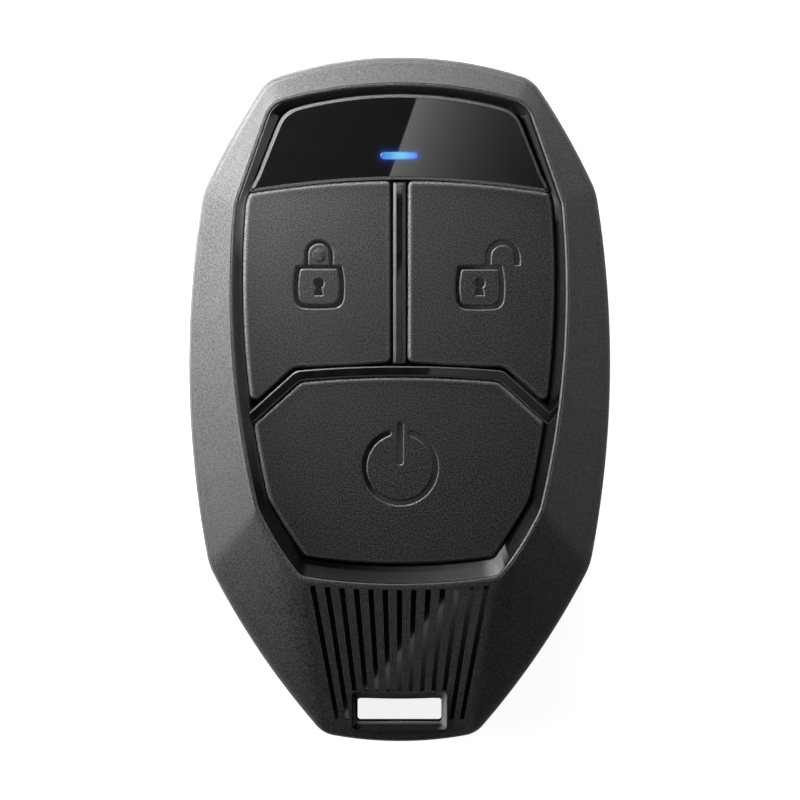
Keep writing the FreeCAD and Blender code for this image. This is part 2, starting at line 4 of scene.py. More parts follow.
import bmesh
import bpy
import numpy as np
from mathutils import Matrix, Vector


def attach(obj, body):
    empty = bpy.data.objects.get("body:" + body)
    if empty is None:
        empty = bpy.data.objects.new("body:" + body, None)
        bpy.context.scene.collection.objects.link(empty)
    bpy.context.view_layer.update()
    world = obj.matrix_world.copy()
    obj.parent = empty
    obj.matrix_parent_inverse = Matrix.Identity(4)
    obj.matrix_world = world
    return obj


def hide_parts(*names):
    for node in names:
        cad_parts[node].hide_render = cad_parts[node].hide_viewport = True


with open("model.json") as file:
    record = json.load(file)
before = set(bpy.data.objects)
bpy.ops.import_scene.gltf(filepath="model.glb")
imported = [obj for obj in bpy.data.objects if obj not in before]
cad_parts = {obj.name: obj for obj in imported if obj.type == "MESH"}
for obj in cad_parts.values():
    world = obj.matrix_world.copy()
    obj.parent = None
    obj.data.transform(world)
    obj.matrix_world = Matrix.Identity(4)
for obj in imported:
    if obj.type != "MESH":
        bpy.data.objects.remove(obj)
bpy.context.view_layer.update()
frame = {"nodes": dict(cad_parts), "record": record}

nodes = frame["nodes"]

# Plan sizes and levels are in millimetres, in the frame of the part; meshes are made in metres.
MM = 0.001
weld, cad_weld = 1e-7, 2e-6  # metres

# Outlines, right half from the bottom up: x, y, corner radius, bow of the side that follows.
body_half = [(7.8, -34.2, 3.0, 0.68), (19.5, -17.0, 7.0, 1.74), (20.1, 21.2, 7.0, 0.29),
             (13.66, 32.65, 3.5, 2.35)]
rim_half = [(10.03, -18.0, 1.5, 0.25), (14.28, -11.16, 5.0, 1.29), (16.5, 19.86, 4.0, 0.02),
            (12.95, 29.99, 2.5, 1.89)]
field_half = [(9.67, -16.27, 1.0, 0.12), (13.46, -10.34, 4.0, 1.19), (15.76, 20.06, 4.0, 0.02),
              (12.03, 29.5, 2.0, 1.77)]
body_foot_bow, rim_foot_bow, field_foot_bow = 0.80, 0.83, 0.72
least_bow, least_radius, least_spread = 0.001, 0.05, 0.4

# Levels above the rear face, and the thickness of the case's wall.
seam_z, side_z, edge_z = 6.0, 8.05, 8.6
plate_z = 9.3
button_z = 10.4
field_top_z = 10.5
divider_z = 10.72
lens_z = 10.95
wall = 1.5

# Slopes along the fob, each through two points of y and z: the tilted rim, and the grooved ramp.
rim_low, rim_high = (31.88, 11.2), (-18.83, 12.75)
ramp_from, ramp_to = (-19.35, 12.62), (-34.4, 8.66)
ramp_slope = (ramp_to[1] - ramp_from[1]) / (ramp_to[0] - ramp_from[0])


def on_line(y, first, second):
    return first[1] + (y - first[0]) * (second[1] - first[1]) / (second[0] - first[0])


def rim_level(y):
    return on_line(y, rim_low, rim_high)


def ramp_level(y):
    return on_line(y, ramp_from, ramp_to)


def whole(half, foot_bow):
    """Close a right half into a full outline, counter-clockwise."""
    bows = [foot_bow] + [key[3] for key in half[:-1]]
    return half + [(-x, y, radius, bow) for (x, y, radius, _), bow in zip(half, bows)][::-1]


def between(first, second, share):
    """Outline part of the way from one outline to another."""
    return [tuple(p + (q - p) * share for p, q in zip(a, b)) for a, b in zip(first, second)]


def side_circle(start, end, bow, inset):
    """Centre, radius and sign of the circle that carries a bowed side, moved inward by the inset."""
    bow = bow if abs(bow) > least_bow else least_bow
    chord = end - start
    square = Vector((-chord.y, chord.x)) / chord.length
    radius = (chord.length_squared / 4 + bow * bow) / (2 * abs(bow))
    sign = 1.0 if bow > 0 else -1.0
    return (start + end) / 2 + square * (sign * (radius - abs(bow))), radius - sign * inset, sign


def meeting(c1, r1, c2, r2, near):
    """Crossing of two circles that lies nearest to a point."""
    gap = c2 - c1
    along = (r1 * r1 - r2 * r2 + gap.length_squared) / (2 * gap.length)
    high = math.sqrt(max(r1 * r1 - along * along, 0.0))
    unit = gap.normalized()
    cross = Vector((-unit.y, unit.x))
    spots = (c1 + unit * along + cross * high, c1 + unit * along - cross * high)
    return min(spots, key=lambda spot: (spot - near).length)


def swing(centre, start, end, steps):
    """Points on the short arc from start to end."""
    first, last = start - centre, end - centre
    turn = math.atan2(first.x * last.y - first.y * last.x, first.dot(last))
    points = []
    for i in range(steps + 1):
        c, s = math.cos(turn * i / steps), math.sin(turn * i / steps)
        points.append(centre + Vector((first.x * c - first.y * s, first.x * s + first.y * c)))
    return points


def outline(keys, inset=0.0, corner_steps=10, side_steps=20):
    """Closed plan line of bowed sides and rounded corners, with a fixed number of points."""
    count = len(keys)
    spots = [Vector(k[:2]) for k in keys]
    circles = [side_circle(spots[i], spots[(i + 1) % count], keys[i][3], inset) for i in range(count)]
    corners = []
    for i in range(count):
        before, after = circles[i - 1], circles[i]
        a, b = spots[i] - spots[i - 1], spots[(i + 1) % count] - spots[i]
        turn = 1.0 if a.x * b.y - a.y * b.x > 0 else -1.0
        reach = turn * max(keys[i][2] - turn * inset, least_radius)
        centre = meeting(before[0], before[1] - before[2] * reach,
                         after[0], after[1] - after[2] * reach, spots[i])
        touch = [c[0] + (centre - c[0]).normalized() * c[1] for c in (before, after)]
        corners.append(swing(centre, touch[0], touch[1], corner_steps))
    points = []
    for i in range(count):
        points += corners[i]
        points += swing(circles[i][0], corners[i][-1], corners[(i + 1) % count][0], side_steps)[1:-1]
    return np.array([(p.x, p.y) for p in points])


def slot_plan(half, low, high, radius, sag=0.0, side_steps=14):
    """Plan of a slot between two y values, whose upper edge may sag."""
    keys = [(-half, low, radius, 0), (half, low, radius, 0), (half, high, radius, -sag), (-half, high, radius, 0)]
    return outline(keys, 0.0, 8, side_steps)


def curve_rows(first, knee, last, steps):
    """Rows of numbers along a quadratic curve between two rows, steered by a third."""
    return [[(1 - t) ** 2 * a + 2 * t * (1 - t) * b + t * t * c for a, b, c in zip(first, knee, last)]
            for t in (i / steps for i in range(steps + 1))]


def straight_rows(first, last, steps):
    """Rows of numbers between two rows, without these two."""
    return [[a + (b - a) * i / steps for a, b in zip(first, last)] for i in range(1, steps)]


def soft_min(a, b, k):
    """Lower of two heights, with a rounded meeting."""
    h = np.clip(0.5 + 0.5 * (b - a) / k, 0.0, 1.0)
    return b * (1 - h) + a * h - k * h * (1 - h)


def signed_area(plan):
    """Twice the area inside a plan line, above zero when it runs counter-clockwise."""
    return (plan[:, 0] * np.roll(plan[:, 1], -1) - plan[:, 1] * np.roll(plan[:, 0], -1)).sum()


def evenly(plan, step, start=0.0):
    """Closed plan line resampled to an even step, from a share of the first step on."""
    closed = np.vstack([plan, plan[:1]])
    lengths = np.concatenate([[0], np.cumsum(np.linalg.norm(np.diff(closed, axis=0), axis=1))])
    count = int(lengths[-1] / step)
    spots = (np.arange(count) + start) * lengths[-1] / count
    return np.stack([np.interp(spots, lengths, closed[:, i]) for i in (0, 1)], 1)


def inward(plan, amount):
    """Plan line moved inward by a small amount, square to its run."""
    ahead, behind = np.roll(plan, -1, 0) - plan, plan - np.roll(plan, 1, 0)
    ahead /= np.linalg.norm(ahead, axis=1)[:, None]
    behind /= np.linalg.norm(behind, axis=1)[:, None]
    run = ahead + behind
    run /= np.linalg.norm(run, axis=1)[:, None]
    spread = np.clip((ahead * run).sum(1), least_spread, 1.0)
    side = np.stack([-run[:, 1], run[:, 0]], 1) * math.copysign(1.0, signed_area(plan))
    return plan + side * (amount / spread)[:, None]


body = whole(body_half, body_foot_bow)
rim = whole(rim_half, rim_foot_bow)
field = whole(field_half, field_foot_bow)


# Mesh helpers; sharp is the angle in degrees past which an edge stays sharp.
def smooth(piece, sharp):
    piece.data.shade_smooth()
    piece.data.set_sharp_from_angle(angle=math.radians(sharp))


def new_object(name, data):
    """New object in the scene, at the origin."""
    made = bpy.data.objects.new(name, data)
    bpy.context.scene.collection.objects.link(made)
    return made


def make_piece(name, bm, sharp):
    """Turn a bmesh into a piece with smooth faces and sharp real edges."""
    bmesh.ops.remove_doubles(bm, verts=bm.verts, dist=weld)
    bmesh.ops.recalc_face_normals(bm, faces=bm.faces)
    mesh = bpy.data.meshes.new(name)
    bm.to_mesh(mesh)
    bm.free()
    piece = new_object(name, mesh)
    smooth(piece, sharp)
    return piece


def add_ring(bm, plan, heights):
    """Verts of one closed ring, from a plan in mm and its heights."""
    heights = np.broadcast_to(heights, len(plan))
    return [bm.verts.new((x * MM, y * MM, z * MM)) for (x, y), z in zip(plan, heights)]


def stack(bm, rows, closed=False):
    """Rings from rows of (plan, heights), with faces between them; closed joins last to first."""
    rings = [add_ring(bm, plan, heights) for plan, heights in rows]
    for low, high in zip(rings, rings[1:] + rings[:closed]):
        for i in range(len(low)):
            j = (i + 1) % len(low)
            bm.faces.new((low[i], low[j], high[j], high[i]))
    return rings


def fill_between(bm, rings):
    """Flat faces inside the first ring and outside the others."""
    pairs = [pair for ring in rings for pair in zip(ring[-1:] + ring[:-1], ring)]
    edges = [bm.edges.get(pair) or bm.edges.new(pair) for pair in pairs]
    made = bmesh.ops.triangle_fill(bm, use_beauty=True, use_dissolve=False, edges=edges)
    return [f for f in made["geom"] if isinstance(f, bmesh.types.BMFace)]


def lifted_stack(name, rows, sharp=30.0):
    """Closed piece from rows of (plan, heights), with flat caps at both ends."""
    bm = bmesh.new()
    rings = stack(bm, rows)
    fill_between(bm, rings[:1])
    fill_between(bm, rings[-1:])
    return make_piece(name, bm, sharp)


def hoop(name, rows, sharp):
    """Closed ring-shaped piece: each row is a ring, and the last joins the first."""
    bm = bmesh.new()
    stack(bm, rows, closed=True)
    return make_piece(name, bm, sharp)


def bake(piece):
    """Replace a piece's mesh by the one that its modifiers give."""
    made = bpy.data.meshes.new_from_object(piece.evaluated_get(bpy.context.evaluated_depsgraph_get()))
    piece.modifiers.clear()
    old, name = piece.data, piece.data.name
    piece.data = made
    bpy.data.meshes.remove(old)
    made.name = name
    return piece


def cut(piece, cutters, sharp):
    """Cut the cutters out of a piece and remove them."""
    for cutter in cutters:
        modifier = piece.modifiers.new("cut", "BOOLEAN")
        modifier.operation = "DIFFERENCE"
        modifier.solver = "EXACT"
        modifier.material_mode = "TRANSFER"
        modifier.object = cutter
    bake(piece)
    for cutter in cutters:
        bpy.data.objects.remove(cutter)
    smooth(piece, sharp)


def merged(node):
    """Copy of a CAD node's triangles with their doubles merged."""
    bm = bmesh.new()
    bm.from_mesh(nodes[node].data)
    bmesh.ops.remove_doubles(bm, verts=bm.verts, dist=cad_weld)
    return bm


def tidy_copy(name, node, sharp=20.0, flat_limit=0.4):
    """Copy of a CAD node with its flat faces joined and its curves smooth; both limits in degrees."""
    bm = merged(node)
    bmesh.ops.dissolve_limit(bm, angle_limit=math.radians(flat_limit), verts=bm.verts, edges=bm.edges)
    piece = make_piece(name, bm, sharp)
    level = piece.modifiers.new("level_faces", "WEIGHTED_NORMAL")
    level.weight = 100
    level.keep_sharp = True
    return bake(piece)


def loop_at(node, height, step):
    """Plan line of a CAD node at one height, resampled to an even step."""
    bm = merged(node)
    made = bmesh.ops.bisect_plane(bm, geom=bm.verts[:] + bm.edges[:] + bm.faces[:],
                                  plane_co=(0, 0, height * MM), plane_no=(0, 0, 1))
    edges = [e for e in made["geom_cut"] if isinstance(e, bmesh.types.BMEdge)]
    start = edges[0].verts[0]
    points, at, came = [start], edges[0].other_vert(start), edges[0]
    while at is not start:
        points.append(at)
        came = next(e for e in at.link_edges if e in edges and e is not came)
        at = came.other_vert(at)
    plan = evenly(np.array([(v.co.x / MM, v.co.y / MM) for v in points]), step)
    bm.free()
    return plan if signed_area(plan) > 0 else plan[::-1]


# Node trees written as sums.
def operator(operation, flipped=False):
    """Operator of a Value, which adds one Math node; flipped for the reflected form."""
    def apply(self, other):
        return self.graph.math(operation, *((other, self) if flipped else (self, other)))
    return apply


class Value:
    """An output socket; sums written with it add Math nodes."""

    __add__, __radd__ = operator("ADD"), operator("ADD", True)
    __sub__, __rsub__ = operator("SUBTRACT"), operator("SUBTRACT", True)
    __mul__, __rmul__ = operator("MULTIPLY"), operator("MULTIPLY", True)
    __truediv__, __rtruediv__ = operator("DIVIDE"), operator("DIVIDE", True)
    __pow__, __gt__ = operator("POWER"), operator("GREATER_THAN")

    def __init__(self, graph, socket):
        self.graph, self.socket = graph, socket


class Graph:
    """One node tree and the ways of adding to it."""

    def __init__(self, tree):
        self.tree = tree

    def add(self, kind, settings=None, inputs=None, output=0):
        node = self.tree.nodes.new(kind)
        for key, value in (settings or {}).items():
            if key == "stops":
                while len(node.color_ramp.elements) < len(value):
                    node.color_ramp.elements.new(1.0)
                for element, (place, colour) in zip(node.color_ramp.elements, value):
                    element.position, element.color = place, (*colour, 1.0)
            else:
                setattr(node, key, value)
        for key, value in (inputs or {}).items():
            if isinstance(value, Value):
                self.tree.links.new(value.socket, node.inputs[key])
            else:
                node.inputs[key].default_value = value
        return Value(self, node.outputs[output]) if len(node.outputs) else node

    def math(self, operation, *terms):
        return self.add("ShaderNodeMath", {"operation": operation}, dict(enumerate(terms)))

    def axes(self, vector):
        """X, Y and Z of a vector."""
        outputs = self.add("ShaderNodeSeparateXYZ", None, {"Vector": vector}).socket.node.outputs
        return [Value(self, outputs[axis]) for axis in "XYZ"]

    def blend(self, share, first, second):
        """Mix of two colours; 6 and 7 are the colour inputs of the Mix node."""
        return self.add("ShaderNodeMix", {"data_type": "RGBA"}, {"Factor": share, 6: first, 7: second}, output=2)

    def worn(self):
        """The piece's own attribute for scuffing, painted edge highlights and painted light and shade on a spot.
        """
        return self.add("ShaderNodeAttribute", {"attribute_name": "worn"}, output="Fac")


def with_graph(owner):
    """A material or a world, and its emptied node tree."""
    owner.use_nodes = True
    owner.node_tree.nodes.clear()
    return owner, Graph(owner.node_tree)


def surface(name, shader, **links):
    """Material with one Principled shader; shader gives its fixed values, links its varying ones."""
    material, graph = with_graph(bpy.data.materials.new(name))
    place = graph.add("ShaderNodeTexCoord", output="Object")
    inputs = dict(shader)
    for key, make in links.items():
        inputs[key.replace("_", " ")] = make(graph, place)
    bsdf = graph.add("ShaderNodeBsdfPrincipled", None, inputs)
    graph.add("ShaderNodeOutputMaterial", None, {"Surface": bsdf})
    return material


# Size in mm of the speckle in moulded colours, and the refractive index of every plastic.
speckle_size = 0.16
plastic = {"IOR": 1.5}
dull_plastic = {"IOR": 1.5, "Specular IOR Level": 0.3}


def grey(level):
    return level, level, level


def noise(graph, place, size, detail=2.0):
    """Noise with features of one size in mm, from 0 to 1."""
    return graph.add("ShaderNodeTexNoise", None,
                     {"Vector": place, "Scale": 1.0 / (size * MM), "Detail": detail, "Roughness": 0.5})


def tinted(colour, spread, size, wear_and_light_colour=None):
    """Colour that drifts over the surface, and turns to a second colour with the piece's attribute: scuffing,
    painted edge highlights, and painted light and shade.
    """
    def ramp(graph, pattern, tone, drift):
        stops = [(0.38, [c * (1 - drift) for c in tone]), (0.62, [min(c * (1 + drift), 1.0) for c in tone])]
        return graph.add("ShaderNodeValToRGB", {"stops": stops}, {"Fac": pattern})

    def make(graph, place):
        pattern = noise(graph, place, size)
        fresh = ramp(graph, pattern, colour, spread)
        if wear_and_light_colour is None:
            return fresh
        return graph.blend(graph.worn(), fresh, ramp(graph, pattern, wear_and_light_colour, 0.6 * spread))
    return make


def grained(size, depth):
    """Bump of fine moulded grain."""
    def make(graph, place):
        height = noise(graph, place, size, 3.0)
        return graph.add("ShaderNodeBump", None, {"Strength": 1.0, "Distance": depth * MM, "Height": height})
    return make


def patchy(level, spread, size, worn=0.0, fine=0.0):
    """Roughness that drifts with handling, varies with the speckle, and drops with the piece's attribute of
    scuffing and painted light.
    """
    def make(graph, place):
        drift = (noise(graph, place, size, 3.0) - 0.5) * (2 * spread) + level
        if fine:
            drift = drift + (noise(graph, place, speckle_size) - 0.5) * fine
        return drift - graph.worn() * worn if worn else drift
    return make


def moulded(name, colour, rough, grain_size, grain_depth, worn=0.0, wear_and_light_colour=None, speckle=0.3, fixed=plastic):
    """Plastic, rubber or ceramic with a fine moulded grain."""
    return surface(name, fixed, Base_Color=tinted(colour, speckle, speckle_size, wear_and_light_colour),
                   Roughness=patchy(rough, 0.05, 3.0, worn, 0.2 * speckle),
                   Normal=grained(grain_size, grain_depth))


def polished(name, colour, rough, drift=0.3, wear_and_light_colour=None, fixed=plastic, **links):
    """Gloss plastic with faint handling marks."""
    return surface(name, fixed, Base_Color=tinted(colour, drift, 1.5, wear_and_light_colour),
                   Roughness=patchy(rough, drift * rough, 2.5), Normal=grained(1.5, 0.00001), **links)


def metal(name, colour, rough, grain_size, grain_depth):
    return surface(name, {"Metallic": 1.0}, Base_Color=tinted(colour, 0.05, 0.8),
                   Roughness=patchy(rough, 0.08, 0.6), Normal=grained(grain_size, grain_depth))


# Glow round the light bar: half length of its core, reach in x and in y, and the bar's y.
glow_half, glow_reach_x, glow_reach_y, bar_y = 1.6, 0.42, 0.5, 24.8
bar_reach = 1.9


def glowing_window(graph, place):
    """Blue glow that spreads in the window from the light bar."""
    x, y, _ = graph.axes(place)
    across = graph.math("MAXIMUM", graph.math("ABSOLUTE", x) - glow_half * MM, 0.0) / (glow_reach_x * MM)
    along = (y - bar_y * MM) / (glow_reach_y * MM)
    fall = 1.0 / (1.0 + (across * across + along * along) ** 2.0)
    return graph.blend(fall, (0, 0, 0, 1), (0.003, 0.04, 0.2, 1))


def bar_light(graph, place):
    """Light bar, brighter and paler in its middle."""
    across = graph.axes(place)[0] / (bar_reach * MM)
    stops = [(0.0, (0.15, 0.52, 0.8)), (0.3, (0.07, 0.3, 0.72)), (0.75, (0.06, 0.1, 0.55)),
             (1.0, (0.03, 0.05, 0.4))]
    return graph.add("ShaderNodeValToRGB", {"stops": stops}, {"Fac": across * across})


# Finishes, by the names of the record's slots.
finishes = {
    # The shell's second colour marks scuffed edges, paints their highlights and paints light on the grille's
    # lands.
    "shell_plastic": moulded("shell_plastic", grey(0.03), 0.46, 0.15, 0.032, 0.1, grey(0.06), 0.72),
    # The keys' second colour paints highlights on their edges and marks scuffing.
    "button_plastic": moulded("button_plastic", grey(0.022), 0.38, 0.15, 0.026, 0.12, grey(0.3), 0.62,
                              dull_plastic),
    "icon_gloss": polished("icon_gloss", grey(0.004), 0.03),
    "gloss_trim": polished("gloss_trim", grey(0.004), 0.012),
    "window_gloss": polished("window_gloss", grey(0.0035), 0.006, 0.05,
                             fixed={"IOR": 1.5, "Emission Strength": 1.0}, Emission_Color=glowing_window),
    "light_blue": surface("light_blue", {"IOR": 1.5, "Emission Strength": 0.68},
                          Base_Color=tinted((0.02, 0.06, 0.12), 0.1, 0.5), Roughness=patchy(0.02, 0.004, 0.5),
                          Normal=grained(0.3, 0.00001), Emission_Color=bar_light),
}
# Colour, roughness, size of the grain and its depth.
hidden_plastics = {
    "keypad_rubber": ((0.02, 0.02, 0.021), 0.75, 0.2, 0.01),
    "board_green": ((0.01, 0.08, 0.03), 0.35, 0.5, 0.002),
    "part_white": ((0.7, 0.7, 0.66), 0.4, 0.3, 0.002),
    "chip_black": (grey(0.02), 0.6, 0.08, 0.004),
    "part_tan": ((0.3, 0.2, 0.12), 0.5, 0.1, 0.003),
    "ferrite": ((0.03, 0.03, 0.035), 0.55, 0.1, 0.005),
}
metals = {
    "tin_metal": (grey(0.6), 0.3, 0.4, 0.001),
    "copper_wire": ((0.55, 0.22, 0.09), 0.3, 0.2, 0.002),
    "battery_steel": ((0.55, 0.55, 0.56), 0.3, 0.5, 0.001),
    "spring_metal": ((0.6, 0.58, 0.5), 0.35, 0.4, 0.001),
    "screw_steel": ((0.12, 0.12, 0.125), 0.4, 0.15, 0.002),
}
for make, table in ((moulded, hidden_plastics), (metal, metals)):
    for name, values in table.items():
        finishes[name] = make(name, *values)

# Finishes of steep gloss walls, whose pale second colour paints light and shade on them, and of the dividers'
# chamfers and of the window's.
wall_gloss = polished("wall_gloss", grey(0.0012), 0.08, 0.1, grey(0.2), {"IOR": 1.5, "Specular IOR Level": 0.2})
# The chamfers' pale matte colours paint highlight lines along them.
edge_shine = moulded("edge_shine", grey(0.04), 0.37, 0.3, 0.001)
lens_edge_highlight = moulded("lens_edge_highlight", grey(0.065), 0.4, 0.3, 0.001, fixed={"IOR": 1.5, "Specular IOR Level": 0.05})

for row in frame["record"]["subparts"]:
    node = nodes[row["node"]]
    node.data.materials.clear()
    node.data.materials.append(finishes[row["material_slot"]])


def write_wear_and_painted_light(piece, values):
    """Attribute that the finishes read, from 0, fresh or in painted shade, to 1, scuffed or in painted light."""
    piece.data.attributes.new("worn", "FLOAT", "POINT").data.foreach_set("value", values)


def shade(piece, rule):
    """Attribute that lightens a gloss wall as the studio does, by a rule of x, y and z."""
    write_wear_and_painted_light(piece, [rule(*(v.co / MM)) for v in piece.data.vertices])


# Side of the upper-left lamps, towards which the edge attribute paints its highlights.
lit_side = Vector((-0.5, 0.85, 0.1))


def edge_wear_and_highlight(piece, limit, least):
    """Attribute near 1 on outer edges that bend by the limit in degrees, and 0 on flat places.

    It is strongest on edges that face the upper-left lamps, so it marks scuffing and paints edge highlights
    there; least is its share on the far side."""
    bm = bmesh.new()
    bm.from_mesh(piece.data)
    worn = []
    for v in bm.verts:
        bend = max([0.0] + [e.calc_face_angle_signed(0.0) for e in v.link_edges if e.is_manifold])
        worn.append(min(bend / math.radians(limit), 1.0) * min(max(v.normal.dot(lit_side) * 2.0, least), 1.0))
    bm.free()
    write_wear_and_painted_light(piece, worn)


def settle(piece, rides_on, finish, *stands_for):
    """Last step of a piece: finish, body and the CAD nodes that it stands for."""
    if not piece.data.materials:
        piece.data.materials.append(finishes[finish])
    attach(piece, rides_on)
    if stands_for:
        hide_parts(*stands_for)


# Front shell: rings up the side, over the bezel, down inside the rim and back under the skin.
# Each row: share of the way from the outline to the rim, inset, height at the edge, share of the rise.
seam_row, side_row = [0, 0.0, seam_z + 0.14, 0], [0, 0.165, side_z, 0]
bezel_foot, bezel_top = [0.10, 0.42, edge_z, 0.11], [0.80, 0.09, edge_z, 0.855]
shell_rows = [[0, 0.12, seam_z, 0], [0, 0.03, seam_z + 0.04, 0], seam_row]
shell_rows += straight_rows(seam_row, side_row, 6)
shell_rows += curve_rows(side_row, [0, 0.2, edge_z, 0], bezel_foot, 8)
shell_rows += straight_rows(bezel_foot, bezel_top, 36)
shell_rows += curve_rows(bezel_top, [0.84, 0.07, edge_z, 0.905], [0.87, 0.055, edge_z, 0.93], 4)
outer_rows = len(shell_rows)
under_rim, under_skin = 6.7, 8.0
shell_rows += [[1.0, 0.0, under_rim, 1.0], [0.78, 0.0, under_rim, 1.0], [0.0, wall, under_skin, 0.0],
               [0.0, wall, seam_z, 0.0]]
first_ramp_row = 10

# Narrow groove and rounded lip round the rim: distance from the rim and drop below it.
# The last number is the drop at the foot, where the lip runs out.
lip_rows = [(0.42, 0.03, 0.03), (0.36, 0.035, 0.03), (0.33, 0.08, 0.035), (0.29, 0.08, 0.035),
            (0.26, 0.04, 0.035), (0.2, 0.045, 0.04), (0.14, 0.07, 0.045), (0.08, 0.12, 0.06), (0.03, 0.19, 0.15),
            (0.0, 0.27, 0.27)]
lip_fade_y, lip_fade = -15.0, 2.5
ramp_reach_y, ramp_blend, lip_blend = -15.5, 1.0, 0.15


def on_ramp(plan, heights, blend):
    """Heights cut down to the ramp near the foot, with a rounded meeting."""
    return np.where(plan[:, 1] < ramp_reach_y, soft_min(heights, ramp_level(plan[:, 1]), blend), heights)


def lip_ring(out, drop, foot):
    ring = outline(rim, -out)
    at_foot = np.clip((lip_fade_y - ring[:, 1]) / lip_fade, 0.0, 1.0)
    return ring, on_ramp(ring, rim_level(ring[:, 1]) - drop - (foot - drop) * at_foot, lip_blend)


rows = []
for index, (share, inset, base, rise) in enumerate(shell_rows):
    plan = outline(between(body, rim, share), inset)
    heights = base + (rim_level(plan[:, 1]) - edge_z) * rise
    if index == outer_rows:
        rows += [lip_ring(*row) for row in lip_rows]
    if first_ramp_row <= index < outer_rows:
        heights = on_ramp(plan, heights, ramp_blend)
    rows.append((plan, heights))
front_shell = hoop("front_shell_skin", rows, 35.0)

# Grooves of the grille, whose lines meet at one focus below the fob.
grille_half, groove_count = 10.03, 13
groove_sizes = {"Pitch": 1.478, "Pitch Y": -18.93, "Focus Y": -67.6, "Wide": 0.55, "Narrow": 0.45,
                "Top Y": -19.45, "Top Bow": 0.55, "Half Width": grille_half, "Inner Foot": -29.75,
                "Outer Foot": -32.7, "Long From": 4.5, "Slope": ramp_slope,
                "Start Z": ramp_from[1] - ramp_slope * ramp_from[0], "Deep": 0.4, "Flare": 0.1}
# Middle levels of the cutting block, as shares of its height; then the second level's share of the depth,
# and the heights in mm of the third and the top level above the ramp.
level_slack, second_level, third_level = 0.05, 0.3333, 0.6667
second_deep, third_drop, clear_above = 0.9, -0.02, 0.1


def grille_cutters():
    """Thirteen tapered grooves, made from one block by a rule."""
    tree = bpy.data.node_groups.new("tapered_grooves", "GeometryNodeTree")
    sizes = {"Count": ("NodeSocketInt", groove_count)}
    sizes.update({name: ("NodeSocketFloat", value) for name, value in groove_sizes.items()})
    sizes["Material"] = ("NodeSocketMaterial", finishes["gloss_trim"])
    for name, (kind, value) in sizes.items():
        tree.interface.new_socket(name, in_out="INPUT", socket_type=kind).default_value = value
    tree.interface.new_socket("Geometry", in_out="OUTPUT", socket_type="NodeSocketGeometry")
    graph = Graph(tree)
    group = tree.nodes.new("NodeGroupInput")
    size = {name: Value(graph, group.outputs[name]) for name in sizes}
    spots = graph.add("GeometryNodeMeshLine", None, {"Count": size["Count"], "Offset": (0, 0, 0)})
    block = graph.add("GeometryNodeMeshCube", None,
                      {"Size": (1, 1, 1), "Vertices X": 2, "Vertices Y": 12, "Vertices Z": 4})
    placed = graph.add("GeometryNodeInstanceOnPoints", None, {"Points": spots, "Instance": block})
    stored = graph.add("GeometryNodeStoreNamedAttribute", {"data_type": "FLOAT", "domain": "INSTANCE"},
                       {"Geometry": placed, "Name": "groove", "Value": graph.add("GeometryNodeInputIndex")})
    loose = graph.add("GeometryNodeRealizeInstances", None, {"Geometry": stored})
    number = graph.add("GeometryNodeInputNamedAttribute", {"data_type": "FLOAT"}, {"Name": "groove"})
    number = number - (size["Count"] - 1) / 2
    side, along, up = graph.axes(graph.add("GeometryNodeInputPosition"))
    share, level = along + 0.5, up + 0.5

    # Where the groove ends, and its middle line and half width there.
    top_x = number * size["Pitch"]
    near = size["Top Y"] + (top_x / size["Half Width"]) ** 2 * size["Top Bow"]
    far = graph.math("ABSOLUTE", number) > size["Long From"]
    foot = size["Inner Foot"] + (size["Outer Foot"] - size["Inner Foot"]) * far
    y = foot + (near - foot) * share
    half = (size["Narrow"] + (size["Wide"] - size["Narrow"]) * share) * side
    flared = graph.math("MAXIMUM", level * 3.0 - 2.0, 0.0)
    middle = top_x / (size["Pitch Y"] - size["Focus Y"]) * (y - size["Focus Y"])
    x = middle + half + side * flared * size["Flare"] * 0.5

    # Drop of each level below the ramp.
    deep = graph.math("LESS_THAN", level, 0.1)
    shallow = graph.math("COMPARE", level, second_level, level_slack)
    mouth = graph.math("COMPARE", level, third_level, level_slack)
    high = level > 0.9
    drop = (deep + shallow * second_deep) * -1.0 * size["Deep"] + mouth * third_drop + high * clear_above
    z = size["Start Z"] + size["Slope"] * y + drop
    spot = graph.add("ShaderNodeCombineXYZ", None, {"X": x * MM, "Y": y * MM, "Z": z * MM})
    moved = graph.add("GeometryNodeSetPosition", None, {"Geometry": loose, "Position": spot})
    dressed = graph.add("GeometryNodeSetMaterial", None, {"Geometry": moved, "Material": size["Material"]})
    graph.add("NodeGroupOutput", None, {"Geometry": dressed})
    cutter = new_object("groove_cutters", bpy.data.meshes.new("groove_cutters"))
    modifier = cutter.modifiers.new("grooves", "NODES")
    modifier.node_group = tree
    socket = next(s for s in tree.interface.items_tree if s.name == "Material")
    modifier[socket.identifier] = finishes["gloss_trim"]
    return bake(cutter)


# Mouth of the strap slot: half length, lower and upper y, corner radius and sag; height above the ramp.
mouth_rows = [((4.85, -33.75, -29.85, 0.4, 0.27), 0.0), ((4.79, -33.68, -29.93, 0.36, 0.27), -0.02),
              ((4.51, -33.24, -30.23, 0.3, 0.19), -0.3), ((4.34, -32.96, -30.42, 0.28, 0.15), -0.5),
              ((4.3, -32.9, -30.47, 0.26, 0.12), -0.62)]
mouth = [(slot_plan(*sizes), height) for sizes, height in mouth_rows]
recess_cut_z = (4.0, 14.0)
recess_cutter = lifted_stack("recess_cutter", [(mouth[0][0], z) for z in recess_cut_z])
for item in (front_shell, recess_cutter):
    item.data.materials.append(finishes["shell_plastic"])
cut(front_shell, [grille_cutters(), recess_cutter], 35.0)
edge_wear_and_highlight(front_shell, 25.0, 0.2)

